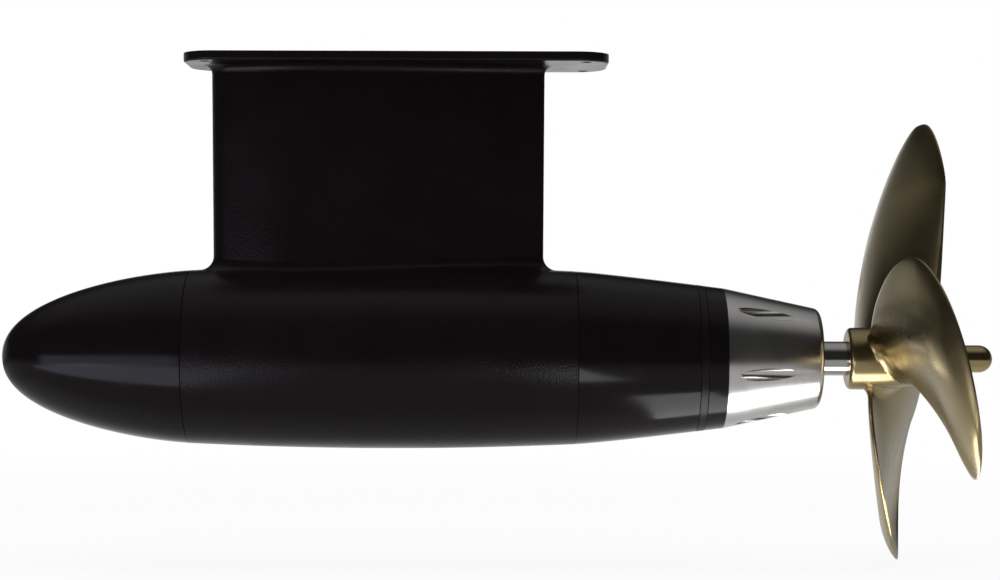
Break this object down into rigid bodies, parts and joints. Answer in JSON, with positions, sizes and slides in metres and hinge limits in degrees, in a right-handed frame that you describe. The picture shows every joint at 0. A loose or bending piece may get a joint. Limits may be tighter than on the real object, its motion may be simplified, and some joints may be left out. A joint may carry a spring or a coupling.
{
  "type": "electric pod drive",
  "caption": "Torpedo-shaped underwater electric motor on a foil strut with a hull flange, driving a three-blade propeller.",
  "frame": {"origin": "centre of the flange's flat hull face", "axes": "+Z is the hull face's outward normal, up into the hull; +X is aft, along the shaft towards the propeller"},
  "size_m": [0.87, 0.3781, 0.4473],
  "materials": {
    "cast_housing": "black paint over an orange-peel sand casting",
    "black_coat": "smooth satin black coat on machined aluminium",
    "isolating_plastic": "black acetal, turned",
    "brushed_stainless": "turned and brushed stainless steel",
    "polished_stainless": "ground and polished stainless steel",
    "screw_steel": "stainless screw steel",
    "seal_rubber": "black nitrile rubber",
    "grommet_rubber": "black moulded rubber",
    "bush_bronze": "machined bearing bronze",
    "polished_bronze": "polished propeller bronze",
    "nut_bronze": "polished bronze",
    "machined_aluminium": "machined aluminium",
    "spring_steel": "phosphated spring steel",
    "bearing_steel": "ground bearing steel",
    "circuit_board": "coated circuit board",
    "core_steel": "laminated electrical steel",
    "copper_winding": "varnished copper wire",
    "magnet_coat": "nickel-plated magnet"
  },
  "bodies": {
    "housing": {"motor_housing": "cast_housing", "nose_cone": "black_coat", "tail_housing": "black_coat", "seal_carrier": "black_coat", "isolating_ring": "isolating_plastic", "end_cone": "brushed_stainless", "end_cone_screws": "screw_steel", "nose_o_ring": "seal_rubber", "tail_o_ring": "seal_rubber", "carrier_o_ring": "seal_rubber", "inner_lip_seal": "seal_rubber", "outer_lip_seal": "seal_rubber", "seal_washer": "screw_steel", "aft_bush": "bush_bronze", "front_bearing_shield": "machined_aluminium", "front_shield_retaining_ring": "spring_steel", "rear_bearing_retaining_ring": "spring_steel", "position_sensor_board": "circuit_board", "front_bearing_outer_ring": "bearing_steel", "rear_bearing_outer_ring": "bearing_steel", "stator_core": "core_steel", "stator_windings": "copper_winding", "cable_grommet": "grommet_rubber", "gland_plate": "brushed_stainless", "gland_screws": "screw_steel"},
    "shaft": {"propeller_shaft": "polished_stainless", "rotor_core": "core_steel", "rotor_magnets": "magnet_coat", "rotor_sleeve": "polished_stainless", "rotor_key": "screw_steel", "rotor_retaining_ring": "spring_steel", "sensor_magnet": "magnet_coat", "front_bearing_inner_ring": "bearing_steel", "rear_bearing_inner_ring": "bearing_steel", "front_lock_nut": "screw_steel", "rear_lock_nut": "screw_steel", "propeller": "polished_bronze", "propeller_key": "bush_bronze", "tab_washer": "bush_bronze", "propeller_nut": "nut_bronze"},
    "front_rollers": {"front_bearing_rollers": "bearing_steel"},
    "rear_rollers": {"rear_bearing_rollers": "bearing_steel"}
  },
  "joints": [
    {"name": "shaft_spin", "type": "hinge", "parent": "housing", "child": "shaft", "pos_m": [0.3, 0, -0.264], "axis": [1, 0, 0], "continuous": true},
    {"name": "front_roller_orbit", "type": "hinge", "parent": "housing", "child": "front_rollers", "pos_m": [-0.131, 0, -0.264], "axis": [1, 0, 0], "continuous": true},
    {"name": "rear_roller_orbit", "type": "hinge", "parent": "housing", "child": "rear_rollers", "pos_m": [0.1644, 0, -0.264], "axis": [1, 0, 0], "continuous": true}
  ],
  "couplings": [
    {"joint": "front_roller_orbit", "follows": "shaft_spin", "ratio": 0.4505},
    {"joint": "rear_roller_orbit", "follows": "shaft_spin", "ratio": 0.4443}
  ]
}
